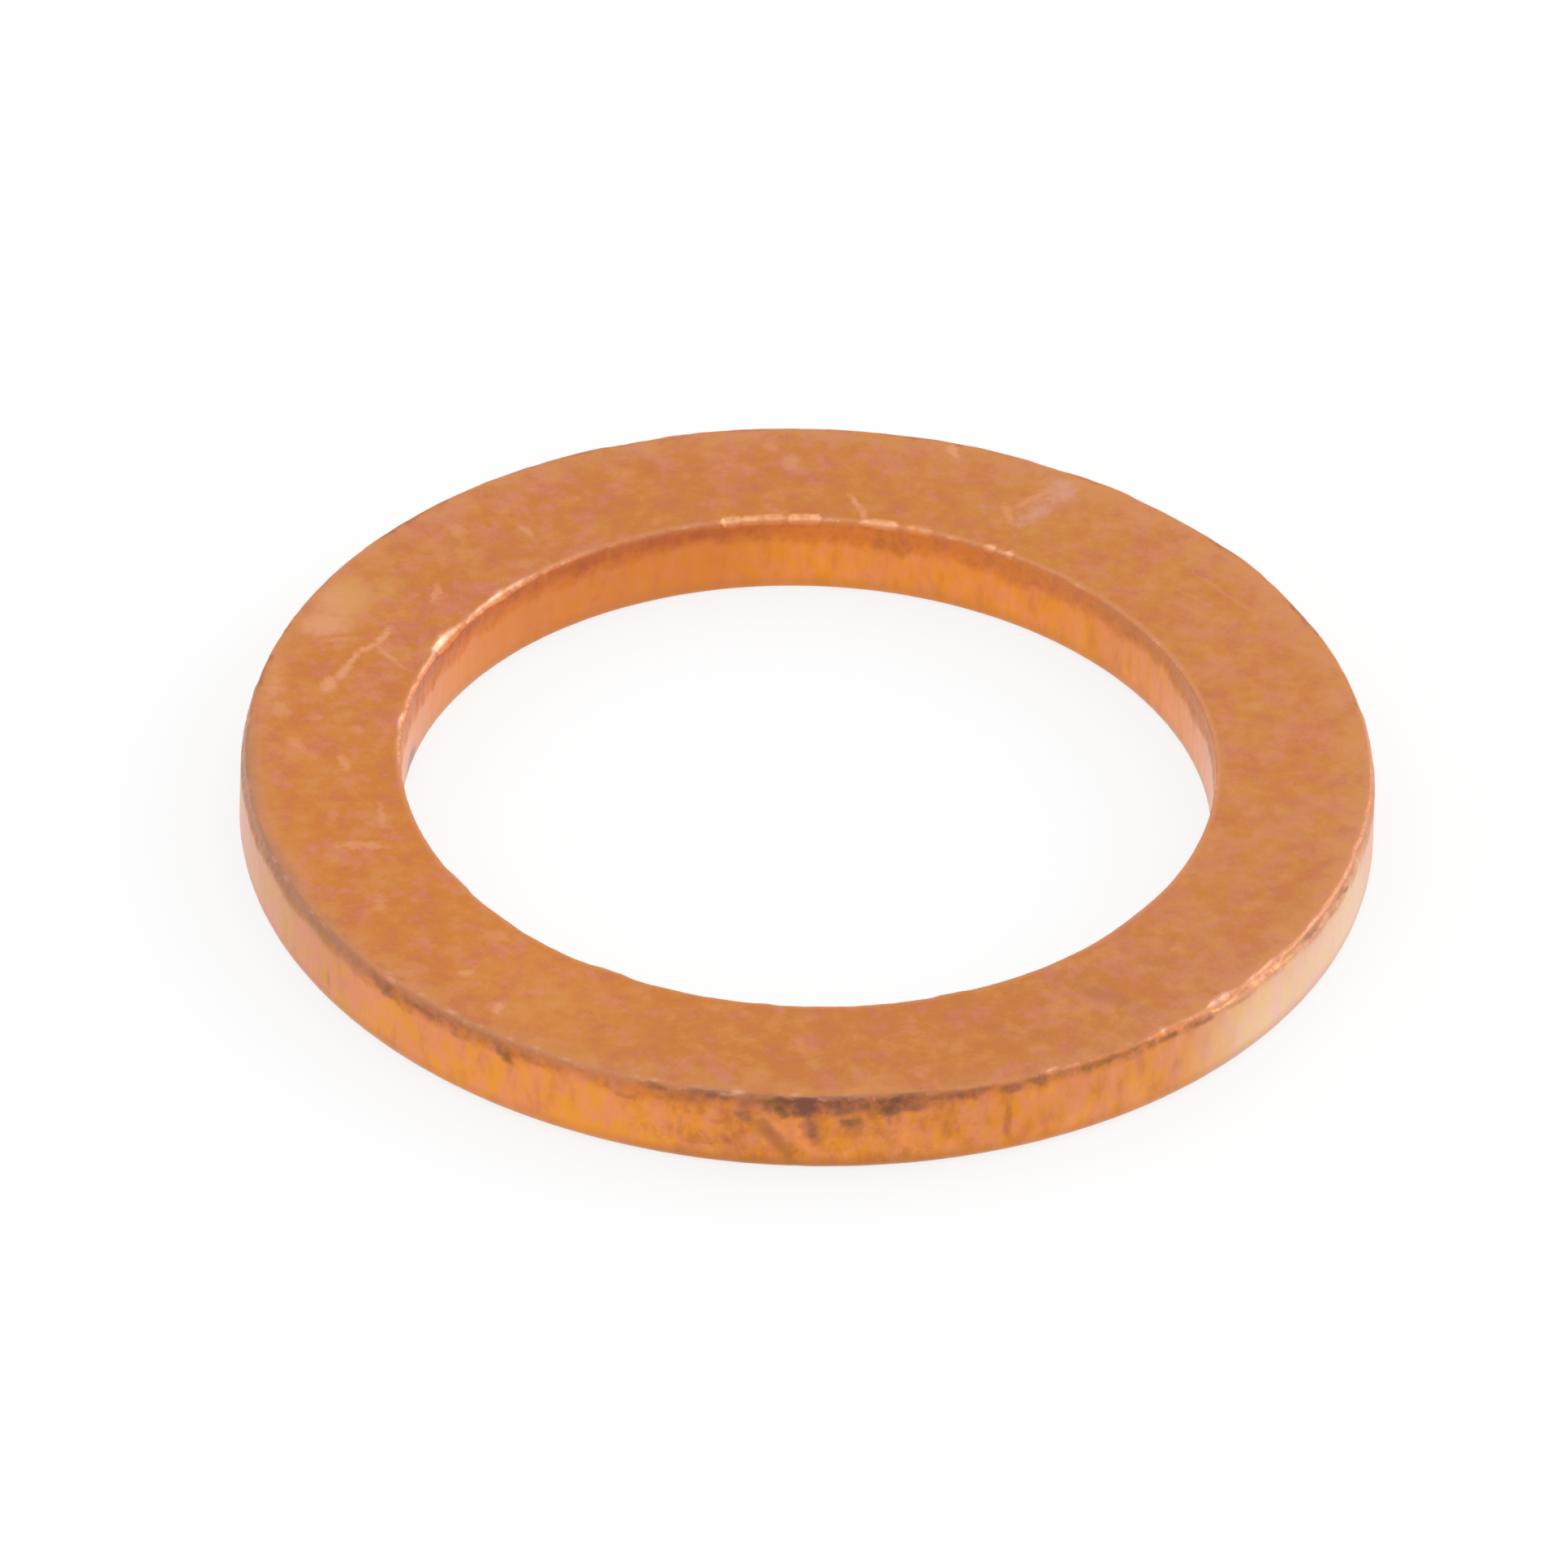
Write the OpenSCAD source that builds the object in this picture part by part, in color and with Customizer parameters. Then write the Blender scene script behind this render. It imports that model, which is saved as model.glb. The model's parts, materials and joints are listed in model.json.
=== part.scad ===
// Flat copper sealing ring for a drain plug, blanked from sheet in one stroke.
// It lies on its rolled face. The torn bands of both cuts are at the upper face.
// Millimetres. Z is the axis of the bore, and z = 0 is the underside.

/* [Ring] */
// Diameter over the outer wall
rim_d = 19.9; // [18:0.1:40]
// Diameter of the bore, a sliding fit on the plug's thread
bore_d = 14.2; // [4:0.1:17]
// Thickness of the sheet
thick = 1.5; // [0.9:0.1:3]

/* [Outer cut] */
// Radius of the rolled edge under the outer wall
rim_roll_r = 0.18; // [0.05:0.01:0.22]
// Height of the torn band at the top of the outer wall
rim_tear_h = 0.26; // [0.05:0.01:0.6]
// How far the torn band leans in from the outer wall
rim_tear_in = 0.07; // [0:0.01:0.1]

/* [Bore cut] */
// Radius of the rolled edge under the bore
bore_roll_r = 0.12; // [0.05:0.01:0.22]
// Height of the torn band at the top of the bore
bore_tear_h = 0.4; // [0.05:0.01:0.6]
// How far the torn band leans back from the bore
bore_tear_in = 0.04; // [0:0.01:0.1]

/* [Finish] */
// Width of the flat that tumbling leaves on both upper edges
edge_break = 0.05; // [0.01:0.01:0.06]

/* [Hidden] */
// Facets of every round shape
$fn = 180;
COPPER = [0.80, 0.50, 0.30];
rim_r = rim_d / 2;
bore_r = bore_d / 2;

// Half of the section's outline, up one wall from the underside to the upper face.
// metal is -1 where the metal is on the axis side of the wall, and 1 where it is outside.
function wall_points(wall_r, metal, roll_r, tear_h, tear_in) = [
    [wall_r + metal * roll_r, 0],
    [wall_r, roll_r],
    [wall_r, thick - tear_h],
    [wall_r + metal * tear_in, thick - edge_break],
    [wall_r + metal * (tear_in + edge_break), thick]
];

// The outline turned backwards, to come down the other wall
function reversed(points) = [for (i = [len(points) - 1 : -1 : 0]) points[i]];

// Disc that rounds the rolled edge under one wall
module rolled_edge(wall_r, metal, roll_r) {
    translate([wall_r + metal * roll_r, roll_r])
        circle(r = roll_r);
}

// Section of the ring at one side of the axis
module section() {
    rim_wall = wall_points(rim_r, -1, rim_roll_r, rim_tear_h, rim_tear_in);
    bore_wall = wall_points(bore_r, 1, bore_roll_r, bore_tear_h, bore_tear_in);
    polygon(concat(rim_wall, reversed(bore_wall)));
    rolled_edge(rim_r, -1, rim_roll_r);
    rolled_edge(bore_r, 1, bore_roll_r);
}

module washer() {
    color(COPPER)
        rotate_extrude()
            section();
}

washer();
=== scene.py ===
import json
import math

import bpy
from mathutils import Matrix, Vector

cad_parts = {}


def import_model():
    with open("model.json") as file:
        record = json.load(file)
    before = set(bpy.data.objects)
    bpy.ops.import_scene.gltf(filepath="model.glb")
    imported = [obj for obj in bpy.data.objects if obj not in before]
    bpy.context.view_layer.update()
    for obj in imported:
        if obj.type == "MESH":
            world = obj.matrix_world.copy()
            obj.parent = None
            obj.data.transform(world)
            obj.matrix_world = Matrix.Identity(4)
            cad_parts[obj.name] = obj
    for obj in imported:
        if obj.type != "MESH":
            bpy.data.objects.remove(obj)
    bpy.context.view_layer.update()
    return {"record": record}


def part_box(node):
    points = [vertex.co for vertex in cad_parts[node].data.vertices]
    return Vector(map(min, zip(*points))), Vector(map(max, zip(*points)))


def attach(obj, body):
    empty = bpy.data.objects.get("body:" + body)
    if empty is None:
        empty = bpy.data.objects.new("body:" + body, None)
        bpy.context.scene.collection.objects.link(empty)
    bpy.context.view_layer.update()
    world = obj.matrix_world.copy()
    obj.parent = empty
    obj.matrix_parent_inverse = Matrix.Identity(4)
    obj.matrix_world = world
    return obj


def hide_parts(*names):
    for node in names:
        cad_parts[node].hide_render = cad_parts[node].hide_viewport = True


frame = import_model()

# Everything about the ring itself is in millimetres, as in the part's source
MM = 0.001
high_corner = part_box("washer")[1]
bore_mount = next(m for m in frame["record"]["mounts"] if m["name"] == "bore")
RIM_R = high_corner.x / MM
THICK = high_corner.z / MM
BORE_R = bore_mount["dims"]["r_mm"]
MID_R = (RIM_R + BORE_R) / 2

# Section of the ring
RIM_ROLL_R = 0.18
BORE_ROLL_R = 0.12
CORNER_R = 0.05
RIM_TEAR_H = 0.26
RIM_TEAR_IN = 0.07
BORE_TEAR_H = 0.40
BORE_TEAR_IN = 0.04
# The streaks of the cut walls go up to this far inside the true cylinders
WALL_PLAY = 0.012
# The upper face lies this far below the highest burr
BURR_H = 0.012
# How far in from a wall the shift of the torn band fades out across the upper face
EDGE_BLEND = 0.5
# Height over width of the slopes rubbed on the upper edges
EDGE_SLOPE = 0.7
# How far each side of the middle the rim's half of the ring turns into the bore's
SIDE_BLEND = 0.1
# How rough torn metal is, how deep the pits under dirt and painted shade and the grooves are, and how wavy
# the two flat faces are
TORN_ROUGH = 0.014
PIT_IN = 0.01
GROOVE_IN = 0.025
UPPER_WAVE_H = 0.003
UNDER_WAVE_H = 0.002
# Lengths of the waves in the torn bands' borders, their lumps and their roughness, in the rubbed lips, the
# burrs and the die's streaks, and across the two faces
BORDER_WAVES = (2.0, 0.6)
LUMP_WAVE = 0.27
ROUGH_WAVE = 0.12
LIP_WAVE = 0.35
BURR_WAVE = 0.5
STREAK_WAVES = (0.45, 0.2)
UPPER_WAVE = 2.2
UNDER_WAVE = 1.8
# Points of the mesh nearer than this are merged, which closes its seams
SAME_POINT = 0.0005

# Mesh rows along each leg of the section, and columns round the ring
COLUMNS = 1200
ROWS = {
    "under face": 3,
    "rim roll": 4,
    "rim wall": 15,
    "rim torn band": 12,
    "rim corner": 4,
    "upper face": 23,
    "bore corner": 3,
    "bore torn band": 9,
    "bore wall": 6,
    "bore roll": 3,
}

# What differs from place to place round the ring. Each row is degrees from the front, positive to the right,
# then half its length and its fade in mm, and how much it adds there.
# Height of the torn bands, in mm
RIM_BAND = [(30, 2.8, 0.7, -0.08), (54, 1.2, 0.8, -0.1), (-15, 0.6, 0.4, 0.1), (-45, 1.2, 0.9, 0.03)]
BORE_BAND = [(180, 4.8, 2.5, 0.07), (-113, 1.4, 0.9, 0.12)]
# How much further into the metal the upper edge lies, in mm
RIM_EDGE = [
    (120, 0.3, 0.5, 0.012),
    (129.5, 0.3, 0.4, -0.022),
    (141, 0.5, 0.5, 0.013),
    (148, 0.1, 0.4, -0.022),
    (155.5, 0.15, 0.4, 0.02),
    (165, 0.4, 0.4, -0.012),
    (-161, 0.2, 0.5, 0.03),
    (28, 0.1, 0.35, 0.02),
    (78, 0.05, 0.3, 0.03),
]
BORE_EDGE = [
    (-57.5, 0.15, 0.35, -0.028),
    (-38, 0.5, 0.5, 0.018),
    (-27.5, 0.15, 0.3, -0.04),
    (-5, 0.05, 0.25, -0.018),
    (21.5, 0.1, 0.3, -0.038),
    (54.5, 0.3, 0.8, -0.02),
]
# Height of the slope rubbed on the upper edges, in mm. The rubbed slopes are painted with a highlight.
RIM_RUB = [
    (36, 1.6, 1.2, 0.01),
    (67, 2.7, 1.2, 0.015),
    (27, 0.05, 0.15, 0.03),
    (41, 0.08, 0.25, 0.035),
    (48.3, 0.1, 0.4, 0.05),
    (55, 0.2, 0.5, 0.03),
]
BORE_RUB = [
    (-122, 2.4, 1.6, 0.035),
    (-116.6, 0.15, 0.35, 0.09),
    (-130, 0.2, 0.5, 0.03),
    (-92, 0.5, 0.4, 0.03),
    (-168, 0.09, 0.12, 0.12),
    (-172.5, 0.3, 0.2, 0.08),
    (-178.5, 0.2, 0.15, 0.105),
    (171, 0.25, 0.15, 0.085),
    (165.3, 0.15, 0.15, 0.07),
    (154.7, 0.05, 0.12, 0.075),
    (151.5, 0.04, 0.1, 0.06),
    (138, 0.2, 0.3, 0.02),
]
# Where the rim's cut band is paler, brighter, browner or rosier, and where the bore's wall is in shade
RIM_TONES = {
    # pale is painted window light on the rim's right side
    "pale": [(64, 1.6, 2.6, 0.82), (76, 4.5, 5.0, 0.13)],
    "bright": [(-31, 2.6, 2.2, 1.0)],
    "brown": [(1, 1.8, 2.2, 1.0)],
    "rose": [(-74, 2.6, 3.0, 1.0)],
}
BORE_SHADE = [(-137, 3.4, 2.0, 1.0)]
# Thin dirt and painted shade along the rim's upper edge, and a dark spot low in the bore
RIM_SOOT_AND_SHADE = [(0, 1.7, 1.2, 0.7), (21, 1.6, 3.0, 0.36)]
BORE_SPOT = [(-101, 0.15, 0.35, 0.9)]
# Slow changes of colour across the faces. Each is a direction in degrees from the front, then how far that
# way from the axis it begins and is full, in mm.
FACE_TONES = {
    "warm": (-40, -1.0, 7.5),
    "dull": (27, 3.0, 8.5),
    "ochre": (107.5, 1.0, 7.0),
}

# Marks on the rim, on a chart of mm round from the front and mm up its wall, then on from 1.5 across the
# upper face. Each row is a long oval: its two ends, half its width, and its strength from 0 to 1.
# Dirt, and painted shade in the torn hollows and in the thin line under the upper edge
DIRT_AND_SHADE = [
    ((-2.8, 1.46), (-2.25, 1.46), 0.08, 0.6),
    ((-1.98, 1.47), (-1.08, 1.5), 0.13, 0.95),
    ((-1.48, 1.52), (-1.22, 1.53), 0.07, 0.8),
    ((-0.65, 1.44), (0.75, 1.44), 0.15, 1.0),
    ((-0.5, 1.33), (0.66, 1.33), 0.2, 1.0),
    ((0.3, 1.41), (0.88, 1.43), 0.16, 0.95),
    ((0.12, 1.25), (0.42, 0.6), 0.19, 0.62),
    ((-1.05, 1.2), (-0.8, 1.04), 0.14, 0.6),
    ((0.8, 1.03), (1.12, 1.02), 0.2, 0.68),
    ((0.6, 1.47), (1.35, 1.47), 0.09, 0.8),
    ((1.3, 1.43), (2.1, 1.43), 0.13, 1.0),
    ((1.45, 1.32), (1.78, 1.24), 0.15, 0.95),
    ((1.6, 1.2), (1.6, 0.88), 0.07, 0.45),
    ((2.0, 1.43), (3.6, 1.42), 0.1, 0.7),
    ((2.9, 1.4), (3.2, 1.38), 0.1, 0.7),
    ((3.6, 1.39), (4.1, 1.36), 0.12, 0.62),
    ((4.1, 1.41), (4.7, 1.41), 0.1, 0.6),
    ((4.7, 1.4), (6.4, 1.39), 0.09, 0.5),
    ((6.5, 1.39), (7.4, 1.37), 0.07, 0.6),
    ((7.3, 1.37), (8.3, 1.33), 0.07, 0.55),
    ((8.3, 1.33), (9.3, 1.28), 0.07, 0.36),
    ((10.7, 1.35), (11.3, 1.32), 0.07, 0.42),
    ((11.6, 1.31), (12.1, 1.26), 0.065, 0.48),
    ((12.3, 1.36), (12.85, 1.28), 0.065, 0.5),
    ((-8.5, 1.36), (-7.85, 1.22), 0.15, 0.55),
    ((-7.75, 1.31), (-6.9, 1.3), 0.08, 0.56),
    ((-6.65, 1.25), (-6.2, 1.2), 0.11, 0.42),
    ((-5.62, 1.34), (-5.2, 1.12), 0.13, 0.6),
    ((-5.1, 1.3), (-4.3, 1.32), 0.07, 0.4),
    ((-3.3, 1.18), (-2.9, 1.12), 0.09, 0.4),
]
# The rounded upper edge's dark reflection, painted on as a soft grey
EDGE_REFLECTIONS = [
    ((-16.4, 1.47), (-13.0, 1.47), 0.26, 0.9),
    ((-13.2, 1.47), (-10.6, 1.45), 0.28, 1.0),
    ((-10.9, 1.45), (-8.8, 1.42), 0.25, 0.75),
    ((-8.9, 1.5), (-2.2, 1.53), 0.13, 0.5),
    ((-2.0, 1.54), (-0.9, 1.58), 0.13, 0.8),
    ((-0.4, 1.6), (2.6, 1.58), 0.08, 0.55),
]
# Pale spots on the torn edge
GLINTS = [
    ((-8.3, 1.62), (-8.15, 1.62), 0.07, 0.5),
    ((-7.45, 1.6), (-7.35, 1.62), 0.07, 0.6),
    ((-6.75, 1.58), (-6.6, 1.6), 0.08, 0.8),
    ((-6.05, 1.6), (-5.95, 1.61), 0.07, 0.6),
    ((-5.45, 1.6), (-5.3, 1.59), 0.08, 0.7),
    ((-4.9, 1.6), (-4.8, 1.6), 0.07, 0.5),
    ((-4.3, 1.57), (-4.15, 1.57), 0.08, 0.7),
    ((-2.95, 1.62), (-2.85, 1.61), 0.07, 0.5),
    ((-2.65, 1.6), (-2.52, 1.6), 0.08, 0.7),
    ((-1.85, 1.66), (-1.7, 1.66), 0.06, 0.4),
    ((-1.14, 1.61), (-0.98, 1.61), 0.14, 1.0),
    ((-0.1, 1.64), (0.05, 1.64), 0.09, 0.7),
    ((0.75, 1.64), (0.95, 1.64), 0.06, 0.3),
    ((4.45, 1.58), (4.75, 1.57), 0.08, 0.5),
    ((5.3, 1.58), (5.4, 1.57), 0.07, 0.3),
    ((6.15, 1.58), (6.25, 1.57), 0.07, 0.4),
    ((6.9, 1.57), (7.05, 1.57), 0.09, 0.8),
    ((7.35, 1.57), (7.5, 1.57), 0.06, 0.5),
    ((8.15, 1.57), (8.75, 1.56), 0.13, 1.0),
    ((9.2, 1.56), (9.5, 1.54), 0.1, 0.6),
    ((10.05, 1.55), (10.25, 1.54), 0.09, 0.5),
    ((11.2, 1.55), (11.45, 1.54), 0.09, 0.5),
]
# Grooves and ridges that the die scored. The grooves are painted dark as shade, the ridges pale as a
# highlight.
GROOVES = [
    ((-0.84, 1.24), (0.04, 0.1), 0.23, 0.72),
    ((-1.32, 0.68), (-1.16, 0.5), 0.12, 0.55),
    ((-1.58, 0.55), (-1.5, 0.42), 0.1, 0.3),
    ((2.63, 0.98), (2.66, 0.48), 0.1, 0.45),
    ((3.79, 1.25), (3.72, 0.2), 0.07, 0.45),
    ((-4.72, 0.98), (-4.7, 0.6), 0.1, 0.2),
    ((-2.05, 1.0), (-2.02, 0.35), 0.08, 0.35),
    ((0.98, 0.92), (1.1, 0.75), 0.1, 0.35),
    ((-9.75, 0.8), (-9.7, 0.3), 0.08, 0.3),
]
RIDGES = [
    ((-0.62, 1.24), (-0.08, 0.74), 0.1, 0.75),
    ((-0.1, 0.78), (0.36, 0.38), 0.12, 1.0),
    ((-8.62, 0.95), (-8.25, 1.3), 0.08, 0.75),
    ((-2.62, 0.92), (-2.2, 0.88), 0.16, 0.5),
    ((-1.87, 1.28), (-1.83, 0.8), 0.1, 0.7),
    ((0.98, 1.26), (1.12, 1.22), 0.1, 0.5),
]

# Marks on the upper face, in mm, told in the same way
SCRATCHES = [
    ((-8.5, 1.62), (-8.42, 1.95), 0.16, 1.0),
    ((-8.3, 2.0), (-8.12, 2.4), 0.1, 1.0),
    ((-8.15, 2.35), (-7.92, 2.8), 0.09, 1.0),
    ((-7.95, 2.75), (-7.62, 3.08), 0.09, 1.0),
    ((-7.65, 3.0), (-7.42, 3.5), 0.1, 1.0),
    ((-7.72, 3.05), (-7.1, 2.3), 0.06, 0.6),
    ((-8.75, 3.08), (-7.85, 3.18), 0.07, 0.45),
    ((-6.6, 4.9), (-6.7, 4.3), 0.09, 0.7),
    ((-6.35, 6.65), (-6.25, 6.3), 0.17, 0.5),
    ((-5.2, 6.68), (-4.98, 6.35), 0.08, 0.6),
    ((-9.3, 1.15), (-9.2, 0.85), 0.17, 0.55),
    ((-9.35, 1.65), (-9.2, 1.55), 0.12, 0.35),
    ((-8.75, 0.85), (-8.55, 0.75), 0.12, 0.4),
    ((-8.0, 0.6), (-7.9, 0.4), 0.12, 0.45),
    ((-9.1, 0.2), (-8.85, -0.15), 0.14, 0.5),
    ((-8.2, -0.2), (-8.05, -0.78), 0.09, 0.65),
    ((-8.3, -1.85), (-8.28, -2.25), 0.12, 0.4),
    ((-7.45, -1.6), (-7.44, -2.4), 0.08, 0.5),
    ((-8.2, -2.92), (-7.3, -2.86), 0.13, 0.75),
    ((-7.42, -4.45), (-7.34, -4.8), 0.14, 0.5),
    ((-5.5, -5.5), (-5.2, -5.4), 0.22, 0.4),
    ((-5.95, -6.62), (-5.75, -6.45), 0.12, 0.8),
    ((-5.2, -7.28), (-5.3, -7.65), 0.11, 0.9),
    ((2.32, 9.48), (2.42, 9.2), 0.12, 1.0),
    ((0.6, 7.92), (0.8, 7.5), 0.08, 0.9),
    ((0.8, 7.55), (0.86, 7.15), 0.08, 0.8),
    ((-0.9, 9.4), (-0.8, 9.2), 0.15, 0.5),
    ((-0.52, 8.9), (-0.45, 8.68), 0.16, 0.5),
    ((3.3, 7.8), (3.45, 7.2), 0.08, 0.6),
    ((3.45, 7.65), (4.1, 8.25), 0.08, 0.6),
    ((6.62, 5.99), (7.93, 4.62), 0.06, 0.25),
    ((6.2, 5.6), (7.1, 4.9), 0.05, 0.2),
]
# Brown smears, a pale water stain and a scuffed patch
SMEARS = [
    ((4.3, -5.9), (6.3, -7.2), 0.28, 0.9),
    ((5.0, -5.6), (7.2, -5.6), 0.2, 0.5),
    ((3.0, -7.6), (4.9, -8.0), 0.25, 0.6),
]
STAINS = [
    ((-8.3, 3.75), (-8.15, 4.9), 0.7, 1.0),
    ((-9.0, 3.5), (-8.0, 3.7), 0.55, 0.85),
    ((-7.75, 4.1), (-7.3, 5.2), 0.4, 0.6),
    ((-9.35, 2.6), (-9.55, 0.9), 0.35, 0.5),
]
# Where the face is a little brighter
SHEEN = [((-5.4, -6.4), (-3.2, -8.0), 1.2, 1.0), ((-8.9, 0.4), (-8.9, -0.6), 0.5, 0.9)]
SCUFFS = [
    ((4.5, 8.7), (4.1, 7.9), 0.55, 0.9),
    ((4.2, 8.1), (3.5, 7.0), 0.4, 0.8),
    ((3.4, 7.3), (2.6, 7.9), 0.2, 0.6),
]
FACE_PATCHES = {"sheen": SHEEN, "stain": STAINS, "scuff": SCUFFS, "smear": SMEARS}


class Tree:
    """A node tree that is being built. add() makes any node of it, and end() its last one."""

    def __init__(self, node_tree):
        self.nodes = node_tree.nodes
        self.links = node_tree.links

    def add(self, kind, settings=None, inputs=None, output=0):
        """Makes a node, sets it, then fills its sockets. Returns the wire from one of its outputs."""
        node = self.nodes.new(kind)
        for name, value in (settings or {}).items():
            setattr(node, name, value)
        for key, value in (inputs or {}).items():
            self.join(value, find_socket(node.inputs, key))
        return Wire(self, find_socket(node.outputs, output))

    def join(self, value, socket):
        if isinstance(value, Wire):
            self.links.new(value.socket, socket)
        else:
            socket.default_value = value

    def end(self, kind, name, wire):
        self.join(wire, self.nodes.new(kind).inputs[name])


def empty_tree(owner):
    """The node tree of a new material or world, without the nodes that it comes with."""
    owner.use_nodes = True
    owner.node_tree.nodes.clear()
    return Tree(owner.node_tree)


def find_socket(sockets, key):
    if isinstance(key, int):
        return sockets[key]
    return next(s for s in sockets if key in (s.identifier, s.name))


class Wire:
    """A value in a node tree. Arithmetic on it adds the tree's Math nodes."""

    def __init__(self, tree, socket):
        self.tree = tree
        self.socket = socket

    def __add__(self, other):
        return maths("ADD", self, other)

    def __sub__(self, other):
        return maths("SUBTRACT", self, other)

    def __rsub__(self, other):
        return maths("SUBTRACT", other, self)

    def __mul__(self, other):
        return maths("MULTIPLY", self, other)

    def __truediv__(self, other):
        return maths("DIVIDE", self, other)

    def beside(self, output):
        """Another output of the same node."""
        return Wire(self.tree, find_socket(self.socket.node.outputs, output))

    __radd__ = __add__
    __rmul__ = __mul__


def maths(operation, *values):
    tree = next(v.tree for v in values if isinstance(v, Wire))
    return tree.add("ShaderNodeMath", {"operation": operation}, dict(enumerate(values)))


def clamped(value):
    return value.tree.add("ShaderNodeClamp", inputs={"Value": value})


def larger(first, second):
    return maths("MAXIMUM", first, second)


def smooth(value, low, high):
    """0 up to low and 1 from high, or the other way round where low is the larger."""
    reach = {"Value": value, "From Min": low, "From Max": high}
    if low > high:
        reach = {"Value": value, "From Min": high, "From Max": low, "To Min": 1.0, "To Max": 0.0}
    return value.tree.add("ShaderNodeMapRange", {"interpolation_type": "SMOOTHSTEP"}, reach, "Result")


def length_of(a, b):
    return maths("SQRT", a * a + b * b)


def vector_of(tree, x, y, z):
    return tree.add("ShaderNodeCombineXYZ", inputs={"X": x, "Y": y, "Z": z})


def noise(place, scale=1.0, detail=2.0, roughness=0.5):
    """Noise from about -1 to 1. place is a vector, and scale is in waves for each unit of it."""
    inputs = {"Vector": place, "Scale": scale, "Detail": detail, "Roughness": roughness}
    return place.tree.add("ShaderNodeTexNoise", {}, inputs) * 2 - 1


def wobbled(place, wave, amount):
    """A place shifted by up to about amount, so that straight lines drawn on it waver."""
    tree = place.tree
    inputs = {"Vector": place, "Scale": 1 / wave, "Detail": 1.0}
    shift = tree.add("ShaderNodeTexNoise", {}, inputs, "Color")
    values = {0: shift, 1: (2 * amount,) * 3, 2: (-amount,) * 3}
    shift = tree.add("ShaderNodeVectorMath", {"operation": "MULTIPLY_ADD"}, values)
    return tree.add("ShaderNodeVectorMath", {"operation": "ADD"}, {0: place, 1: shift})


class Spot:
    """Where a point of the ring is: x, y and z in mm, its radius, and its direction round the axis."""

    def __init__(self, tree, position):
        self.tree = tree
        in_mm = {"Vector": position, "Scale": 1 / MM}
        self.place = tree.add("ShaderNodeVectorMath", {"operation": "SCALE"}, in_mm)
        self.x = tree.add("ShaderNodeSeparateXYZ", inputs={"Vector": self.place}, output="X")
        self.y = self.x.beside("Y")
        self.z = self.x.beside("Z")
        self.radius = length_of(self.x, self.y)
        self.cos = self.x / self.radius
        self.sin = self.y / self.radius

    def bore_side(self):
        """1 on the bore's half of the ring and 0 on the rim's."""
        return smooth(self.radius, MID_R + SIDE_BLEND, MID_R - SIDE_BLEND)

    def towards(self, degrees):
        """Millimetres from the axis in a direction, counted from the front and positive to the right."""
        turn = math.radians(degrees)
        return self.x * math.sin(turn) - self.y * math.cos(turn)

    def arc_from(self, degrees, radius):
        """Millimetres round the ring from a direction, counted from the front and positive to the right."""
        front = math.radians(degrees - 90)
        along = self.cos * math.cos(front) + self.sin * math.sin(front)
        across = self.sin * math.cos(front) - self.cos * math.sin(front)
        return maths("ARCTAN2", across, along) * radius

    def stretches(self, radius, rows):
        """The sum of what the rows of a table add at this direction."""
        total = 0.0
        for degrees, half_length, fade, amount in rows:
            away = maths("ABSOLUTE", self.arc_from(degrees, radius))
            total = smooth(away, half_length + fade, half_length) * amount + total
        return total

    def round_noise(self, radius, wave, seed, detail=2.0, lean=0.0):
        """Noise round the ring, one wave in about wave mm. It changes with height only by lean."""
        turn = radius / wave
        place = vector_of(self.tree, self.cos * turn, self.sin * turn, self.z * lean + seed)
        return noise(place, detail=detail)

    def grain(self, wave, seed, detail=2.0, roughness=0.5):
        """Noise in all directions, one wave in about wave millimetres."""
        shift = (seed * 7.3, seed * 3.1, seed * 5.7)
        moved = self.tree.add("ShaderNodeVectorMath", {"operation": "ADD"}, {0: self.place, 1: shift})
        return noise(moved, 1 / wave, detail, roughness)


def mark(chart, start, end, half_width):
    """How far a point of a chart is from a long oval between two ends: 0 is its middle, 1 its outline."""
    tree = chart.tree
    middle = ((start[0] + end[0]) / 2, (start[1] + end[1]) / 2)
    run = (end[0] - start[0], end[1] - start[1])
    half_length = math.hypot(*run) / 2 + half_width / 2
    scale = (1 / half_length, 1 / half_width)
    turn = {"Vector": chart, "Center": (*middle, 0), "Angle": -math.atan2(run[1], run[0])}
    level = tree.add("ShaderNodeVectorRotate", {"rotation_type": "Z_AXIS"}, turn)
    shift = (-middle[0] * scale[0], -middle[1] * scale[1], 0)
    values = {0: level, 1: (*scale, 0), 2: shift}
    sized = tree.add("ShaderNodeVectorMath", {"operation": "MULTIPLY_ADD"}, values)
    return tree.add("ShaderNodeVectorMath", {"operation": "LENGTH"}, {0: sized}, "Value")


def marks(chart, rows, ragged, full=0.3, none=1.1):
    """The strongest of a table's marks at a point of a chart, 0 to 1. ragged breaks up their edges."""
    strongest = 0.0
    for start, end, half_width, strength in rows:
        far = mark(chart, start, end, half_width) + ragged
        strongest = larger(smooth(far, none, full) * strength, strongest)
    return strongest


# The ring's shape

OUT, UP, IN, DOWN = (1, 0), (0, 1), (-1, 0), (0, -1)
# Height of the finer part of each wall's mesh, which holds the torn band
RIM_TORN_ZONE = 0.5
BORE_TORN_ZONE = 0.62
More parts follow.
